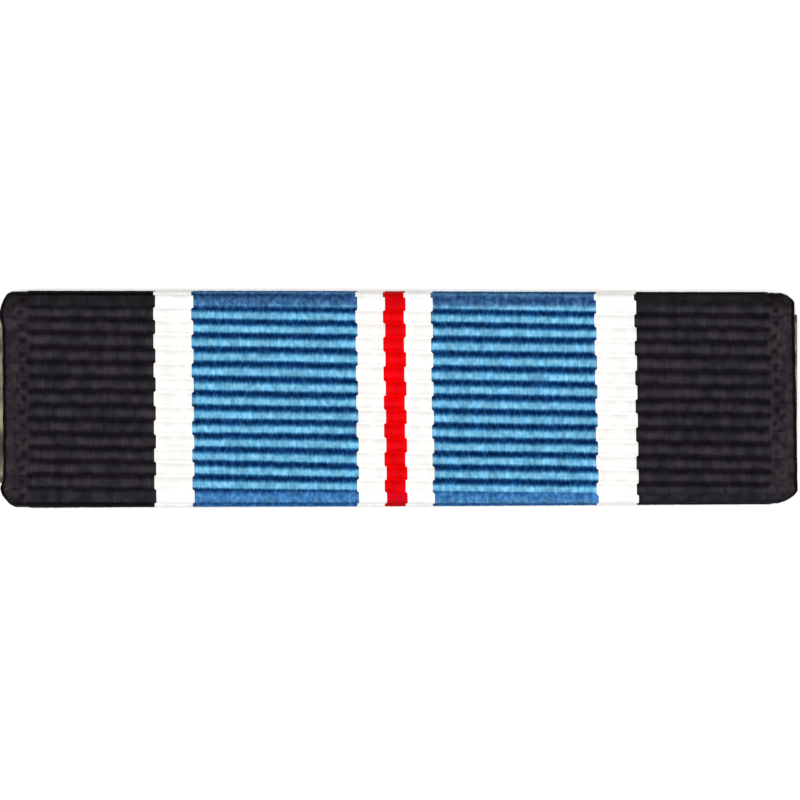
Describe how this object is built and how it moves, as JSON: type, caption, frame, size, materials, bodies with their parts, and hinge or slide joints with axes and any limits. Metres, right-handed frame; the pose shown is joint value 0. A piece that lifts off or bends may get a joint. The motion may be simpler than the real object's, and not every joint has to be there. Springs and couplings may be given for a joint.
{
  "type": "ribbon bar",
  "caption": "Striped, ribbed ribbon wrapped round a flat brass slide, on a plain pin bar whose posts are held by round clutches.",
  "frame": {"origin": "on the surface that the clutches' flat backs lie on, under the middle of the bar", "axes": "+X along the bar to its right end as seen from the front, +Y to its upper edge as worn, +Z out of the ribbon's face"},
  "size_m": [0.0352, 0.0096, 0.0081],
  "materials": {
    "ribbon_cloth": "corded woven ribbon, striped black, white, blue and red, matt with a soft sheen",
    "slide_brass": "thin sheet, dull, slightly tarnished",
    "pin_brass": "satin",
    "clutch_brass": "polished, fine turning marks"
  },
  "bodies": {
    "root": {"ribbon": "ribbon_cloth", "slide_mount": "slide_brass", "pin_bar": "pin_brass", "clutch_left": "clutch_brass", "clutch_right": "clutch_brass"}
  },
  "joints": []
}
